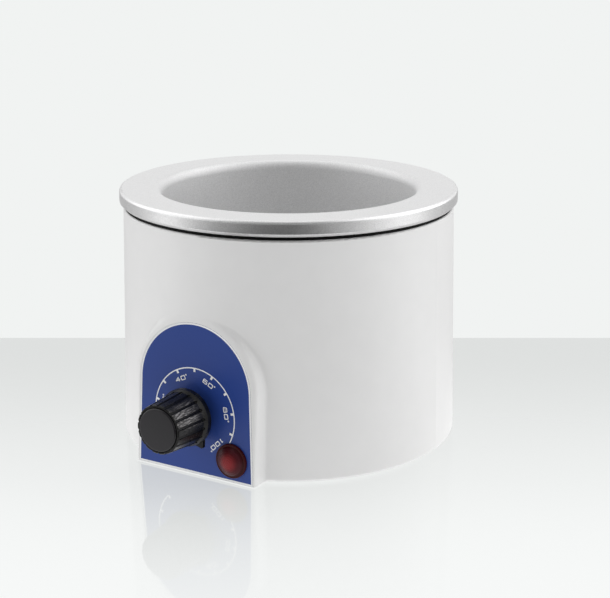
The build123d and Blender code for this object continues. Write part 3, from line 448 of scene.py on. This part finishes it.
def rounded(path, radius):
    """Open or closed path of points whose corners become short arcs."""
    smooth = []
    for before, here, after in zip(path, path[1:], path[2:]):
        here = Vector(here)
        back, ahead = Vector(before) - here, Vector(after) - here
        reach = min(radius, back.length / 2, ahead.length / 2)
        start, end = here + back.normalized() * reach, here + ahead.normalized() * reach
        for k in range(CORNER_STEPS + 1):
            t = k / CORNER_STEPS
            smooth.append(start * (1 - t) ** 2 + here * 2 * t * (1 - t) + end * t ** 2)
    return [Vector(path[0])] + smooth + [Vector(path[-1])]


def ribbon(path, width, loop):
    """Points to the left and right of a path, half the pen's width away, mitred at corners."""
    left, right = [], []
    last = len(path) - 1
    for k, here in enumerate(path):
        ahead = path[(k + 1) % len(path)] - here if loop or k < last else here - path[k - 1]
        behind = here - path[k - 1] if loop or k > 0 else ahead
        a, b = ahead.normalized(), behind.normalized()
        side = Vector((-a.y - b.y, a.x + b.x)).normalized()
        half = width / 2 / max(0.5, side.dot(Vector((-a.y, a.x))))
        left.append(here + side * half)
        right.append(here - side * half)
    return left, right


class Print:
    """Collects ribbons of ink and makes one mesh of them."""

    def __init__(self):
        self.points, self.faces = [], []

    def draw(self, path, width, loop=False):
        left, right = ribbon(path, width, loop)
        first, count = len(self.points), len(left)
        for z in (INK, 0.0):
            self.points += [on_panel(p.x, p.y, z) for p in left]
            self.points += [on_panel(p.x, p.y, z) for p in right]
        top_l, top_r, low_l, low_r = (first + count * k for k in range(4))
        for k in range(count if loop else count - 1):
            n = (k + 1) % count
            self.faces += [(top_l + k, top_r + k, top_r + n, top_l + n),
                           (low_r + k, low_l + k, low_l + n, low_r + n),
                           (low_l + k, top_l + k, top_l + n, low_l + n),
                           (top_r + k, low_r + k, low_r + n, top_r + n)]
        if not loop:
            end = count - 1
            self.faces += [(top_l, low_l, low_r, top_r),
                           (top_r + end, low_r + end, low_l + end, top_l + end)]

    def make(self, name, material, body):
        mesh = bpy.data.meshes.new(name)
        mesh.from_pydata(self.points, [], self.faces)
        mesh.materials.append(material)
        piece = bpy.data.objects.new(name, mesh)
        bpy.context.scene.collection.objects.link(piece)
        print(name, len(self.faces), "faces")
        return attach(piece, body)


white_ink = plain("white_ink", (0.84, 0.85, 0.86), (0.93, 0.94, 0.95), 0.5, 0.38, 0.004)

# %% [markdown]
# The border follows the label's own outline at a steady distance: straight sides that
# spread a little towards the foot, and a round top.

# %% The label's border
BORDER = 0.75
FOOT_HALF, TOP_R, TOP_UP, LABEL_FOOT = 29.8, 28.4, 38.8, 0.2
ARCH_STEPS = 48
inset = BORDER / 2
arch = [Vector((FOOT_HALF - inset, LABEL_FOOT + inset))]
for k in range(ARCH_STEPS + 1):
    turn = pi * k / ARCH_STEPS
    arch.append(Vector(((TOP_R - inset) * cos(turn), TOP_UP + (TOP_R - inset) * sin(turn))))
arch.append(Vector((-FOOT_HALF + inset, LABEL_FOOT + inset)))
border = Print()
border.draw(arch, BORDER, loop=True)
border.make("label_border", white_ink, "warmer")


# %% [markdown]
# The scale runs clockwise from 0 to 100 degrees over 267 degrees of turn, with the middle
# of the scale straight up. Its line stops short of the lamp. The ticks stand inside the
# line, so they are drawn from it towards the knob.

# %% Scale line and ticks
SCALE_R, LINE_W = 20.4, 0.5
TICK_LONG, TICK_W = 1.35, 1.0
SCALE_HALF, LINE_TURN, LINE_STEPS = 133.33, 251.3, 90
PER_DEGREE = 2 * SCALE_HALF / 100


def on_dial(radius, turn):
    """Point of the panel at an angle that counts clockwise from the top of the dial."""
    return Vector((radius * sin(radians(turn)), DIAL_UP + radius * cos(radians(turn))))


scale = Print()
scale.draw([on_dial(SCALE_R, -SCALE_HALF + LINE_TURN * k / LINE_STEPS)
            for k in range(LINE_STEPS + 1)], LINE_W)
for mark in range(0, 100, 10):
    turn = (mark - 50) * PER_DEGREE
    tick_top = SCALE_R - LINE_W / 2
    scale.draw([on_dial(tick_top, turn), on_dial(tick_top - TICK_LONG, turn)], TICK_W)
scale.make("scale_line", white_ink, "warmer")

# %% [markdown]
# The numbers are wide, square and bold, as on many appliances. Each figure is a path on a
# grid one unit wide and one unit high, drawn with the same pen and rounded corners, so no
# font is needed. Each number stands with its head outwards and its middle at its own angle,
# and a small ring after it is the degree mark.

# %% Numbers on the dial
FIGURES = {
    "0": [([(0.5, 0), (1, 0), (1, 1), (0, 1), (0, 0), (0.5, 0)], True)],
    "1": [([(0.32, 0.78), (0.62, 1.0), (0.62, -0.12)], False)],
    "2": [([(0, 0.76), (0, 1), (1, 1), (1, 0.5), (0, 0.5), (0, 0), (1.1, 0)], False)],
    "4": [([(0.78, -0.12), (0.78, 1.0), (0.0, 0.28), (1.12, 0.28)], False)],
    "6": [([(0.95, 1), (0, 1), (0, 0), (1, 0), (1, 0.55), (0.1, 0.55)], False)],
    "8": [([(0.5, 0), (1, 0), (1, 0.5), (0, 0.5), (0, 0), (0.5, 0)], True),
          ([(0.5, 0.5), (0.94, 0.5), (0.94, 1), (0.06, 1), (0.06, 0.5), (0.5, 0.5)], True)],
}
FIGURE_W, FIGURE_H, PEN, GAP = 2.05, 1.62, 0.44, 0.95
ONE_WIDTH, ONE_SHIFT = 0.55, -0.35
SHARP, SOFT = 0.02, 0.3
DEGREE_R, DEGREE_PEN, DEGREE_AFTER, DEGREE_ROOM = 0.26, 0.24, 0.95, 1.2
NUMBERS = {"20": -80.5, "40": -24.5, "60": 27.0, "80": 80.5, "100": 137.0}
NUMBER_R = 16.3


def figure_width(figure):
    return FIGURE_W * (ONE_WIDTH if figure == "1" else 1.0)


def degree_mark(x, y):
    return [Vector((x + DEGREE_R * cos(k * pi / 6), y + DEGREE_R * sin(k * pi / 6)))
            for k in range(12)]


numbers = Print()
for text, turn in NUMBERS.items():
    whole = sum(figure_width(f) for f in text) + GAP * (len(text) - 1)
    x = -(whole + DEGREE_ROOM) / 2
    strokes = []
    for figure in text:
        shift = ONE_SHIFT * FIGURE_W if figure == "1" else 0.0
        for path, loop in FIGURES[figure]:
            placed = [(x + shift + FIGURE_W * u, FIGURE_H * (v - 0.5)) for u, v in path]
            stroke = rounded(placed, SHARP if figure in "14" else SOFT)
            strokes.append((stroke[:-1] if loop else stroke, PEN, loop))
        x += figure_width(figure) + GAP
    strokes.append((degree_mark(x - GAP + DEGREE_AFTER, FIGURE_H * 0.5), DEGREE_PEN, True))
    centre = on_dial(NUMBER_R, turn)
    c, s = cos(radians(turn)), sin(radians(turn))
    for path, width, loop in strokes:
        turned = [centre + Vector((p.x * c + p.y * s, p.y * c - p.x * s)) for p in path]
        numbers.draw(turned, width, loop)
numbers.make("dial_numbers", white_ink, "warmer")

# %% [markdown]
# The camera stands a little above the rim and to the right of the dial, with a long lens.
# It is aimed by a heading and a tilt, and the lens is given for a 36 mm wide sensor.

# %% Camera
HEADING, TILT = 0.5405, 0.2782
eye = bpy.data.cameras.new("camera")
eye.sensor_width, eye.lens = 36.0, 85.90
eye.clip_start, eye.clip_end = 0.01, 50.0
camera = bpy.data.objects.new("camera", eye)
camera.location = (0.3415, -0.5547, 0.2456)
camera.rotation_euler = (pi / 2 - TILT, 0.0, HEADING)
bpy.context.scene.collection.objects.link(camera)
bpy.context.scene.camera = camera
ACROSS = Vector((cos(HEADING), sin(HEADING), 0.0))
AWAY = Vector((-sin(HEADING), cos(HEADING), 0.0))

# %% [markdown]
# The table is a glossy white light table, so nothing on it throws a hard shadow and the foot
# of the object is lit from below. Its glow is an emission whose colour depends on the place
# on the ground: it starts at the horizon behind the object and grows lighter towards the
# camera. The surface mirrors the foot of the object. That mirror fades in front of it and to
# its sides, where the glow takes over, so the picture ends in an even pale grey.
#
# What the object itself sees of the table is simpler: white light in front that turns grey
# behind. Only glossy rays also see a dark room in front of the table, a little to the left,
# because silver needs something dark to mirror. All distances are in metres along the
# camera's own directions, and each pair is where a change begins and ends.

# %% Table and backdrop
HORIZON, GLOW_SPAN = 0.129, 0.27
PALE = (0.879, 0.896, 0.888, 1.0)
SIDE_GLOW = (0.80, 0.816, 0.808, 1.0)
BLACK = (0.0, 0.0, 0.0, 1.0)
MIRROR_FADE, SIDE_FADE = (0.06, 0.20), (0.18, 0.34)
WHITE_TO_GREY = (-0.04, 0.14)
ROOM_FRONT, ROOM_SIDE, ROOM_LEFT = (0.10, 0.21), (0.22, 0.66), 0.10
REACH = 6.0
board = Finish("table_white")
ahead = board.place.dot(AWAY)
nearer = 0.0 - ahead
sideways = board.place.dot(ACROSS)
to_front = (HORIZON - ahead).step(0.0, GLOW_SPAN)
glow = board.tint((0.375, 0.39, 0.383), (0.585, 0.60, 0.593), to_front)
bare_glow = board.tint((0.66, 0.675, 0.668), (0.76, 0.775, 0.768), to_front)
lit = board.tint((1.0, 1.0, 1.0), (0.42, 0.42, 0.42), ahead.step(*WHITE_TO_GREY))


def paper(base, shine_index, light):
    """Surface of the board that also glows; an index of 1.0 mirrors nothing."""
    return board.node("ShaderNodeBsdfPrincipled", None, {
        "Base Color": (base, base, base, 1.0), "Roughness": 0.05, "IOR": shine_index,
        "Emission Color": light, "Emission Strength": 1.0})


near = board.blend(nearer.step(*MIRROR_FADE), paper(0.12, 2.4, glow), paper(0.12, 1.35, bare_glow))
beside = board.blend(abs(sideways).step(*SIDE_FADE), near, paper(0.0, 1.0, SIDE_GLOW))
past_horizon = ahead.step(HORIZON - 0.0005, HORIZON + 0.0005)
for_camera = board.blend(past_horizon, beside, paper(0.0, 1.0, PALE))
glossy_ray = board.node("ShaderNodeLightPath", out="Is Glossy Ray")
room_middle = 1.0 - abs(sideways + ROOM_LEFT).step(*ROOM_SIDE)
room = glossy_ray * nearer.step(*ROOM_FRONT) * room_middle
for_object = board.blend(room, paper(0.12, 1.0, lit), paper(0.02, 1.0, BLACK))
camera_ray = board.node("ShaderNodeLightPath", out="Is Camera Ray")
board.node("ShaderNodeOutputMaterial", None,
           {"Surface": board.blend(camera_ray, for_object, for_camera)})
sheet = bpy.data.meshes.new("table")
sheet.from_pydata([(-REACH, -REACH, 0), (REACH, -REACH, 0), (REACH, REACH, 0), (-REACH, REACH, 0)],
                  [], [(0, 1, 2, 3)])
sheet.materials.append(board.material)
table = bpy.data.objects.new("table", sheet)
bpy.context.scene.collection.objects.link(table)

# %% [markdown]
# The light is a plain studio: a soft box on each side, a weaker one overhead, and a world
# that is pale behind the object and darker on the camera's side. The dark side is what
# gives silver its depth, because a metal shows whatever stands in front of it. Mirrored rays
# have a level of their own, brighter behind and darkening sooner, so the silver can be set
# apart from the white plastic. To the camera itself the world is an even near-white.

# %% World and lamps
world = bpy.data.worlds.new("studio")
world.use_nodes = True
bpy.context.scene.world = world
sky = Board(world.node_tree)
towards_camera = sky.node("ShaderNodeTexCoord", out="Generated").dot(-AWAY)
mirrored = sky.node("ShaderNodeLightPath", out="Is Glossy Ray")
seen = sky.node("ShaderNodeLightPath", out="Is Camera Ray")


def dimmed(behind, drop, low, high):
    """Level of the world's light: full behind the object, less by drop near the camera."""
    return behind - drop * towards_camera.step(low, high)


plain_level, mirror_level = dimmed(0.57, 0.38, -0.1, 0.7), dimmed(0.96, 0.65, -0.8, 0.7)
level = plain_level * (1.0 - mirrored) + mirror_level * mirrored
light = sky.node("ShaderNodeBackground", None, {"Color": (1.0, 1.0, 1.0, 1.0), "Strength": level})
even = sky.node("ShaderNodeBackground", None, {"Color": PALE, "Strength": 1.0})
sky.node("ShaderNodeOutputWorld", None, {"Surface": sky.blend(seen, light, even)})


BOX_SIZE = 1.6


def soft_box(name, place, power):
    """Square area lamp that faces the object's middle."""
    lamp = bpy.data.lights.new(name, "AREA")
    lamp.size, lamp.energy = BOX_SIZE, power
    holder = bpy.data.objects.new(name, lamp)
    holder.location = place
    aim = Vector((0.0, 0.0, 0.06)) - Vector(place)
    holder.rotation_euler = aim.to_track_quat("-Z", "Y").to_euler()
    holder.visible_camera = False
    bpy.context.scene.collection.objects.link(holder)


soft_box("left_box", -1.0 * ACROSS + Vector((0, 0, 0.6)), 6.3)
soft_box("right_box", 1.0 * ACROSS + Vector((0, 0, 0.6)), 8.6)
soft_box("top_box", 0.25 * AWAY + Vector((0, 0, 1.3)), 1.9)
bpy.context.scene.view_settings.view_transform = "Standard"
